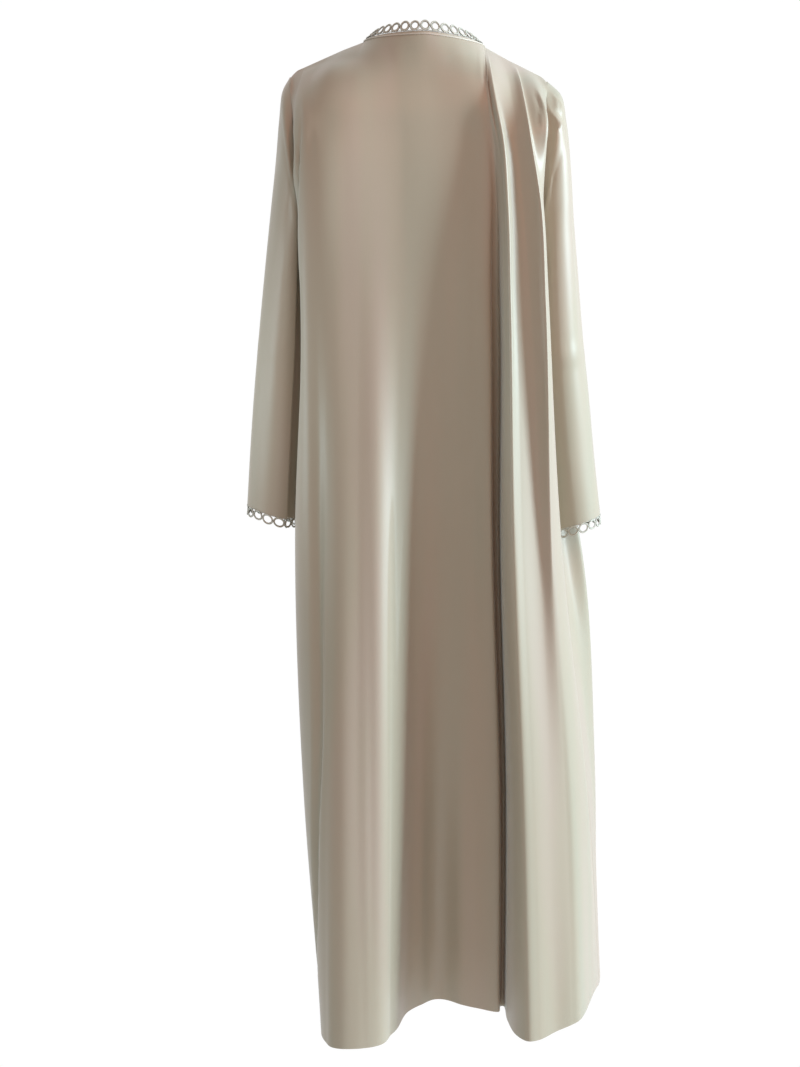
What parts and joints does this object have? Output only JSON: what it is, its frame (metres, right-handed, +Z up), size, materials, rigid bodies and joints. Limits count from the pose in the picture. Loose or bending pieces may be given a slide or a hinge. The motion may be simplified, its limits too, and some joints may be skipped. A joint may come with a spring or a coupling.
{
  "type": "abaya cloak",
  "caption": "Long open-front cloak with straight sleeves, hollow as worn, hanging in deep folds, with an openwork ring trim round the neck and both cuffs.",
  "frame": {"origin": "middle of the neck opening, level with the neck ends of the shoulder seams, where the wearer's shoulders carry the cloak", "axes": "+Z up, +X to the wearer's right, +Y to the wearer's front"},
  "size_m": [0.5297, 0.385, 1.4059],
  "materials": {
    "satin": "taupe champagne satin with a soft sheen",
    "binding": "narrow rolled edge in the same satin",
    "ring_trim": "silvery ivory cord, twisted and slightly glossy"
  },
  "bodies": {
    "root": {"back": "satin", "front_left": "satin", "front_right": "satin", "sleeve_left": "satin", "sleeve_right": "satin", "neck_binding": "binding", "neck_trim": "ring_trim", "cuff_trim_left_back": "ring_trim", "cuff_trim_left_front": "ring_trim", "cuff_trim_right_back": "ring_trim", "cuff_trim_right_front": "ring_trim"}
  },
  "joints": []
}
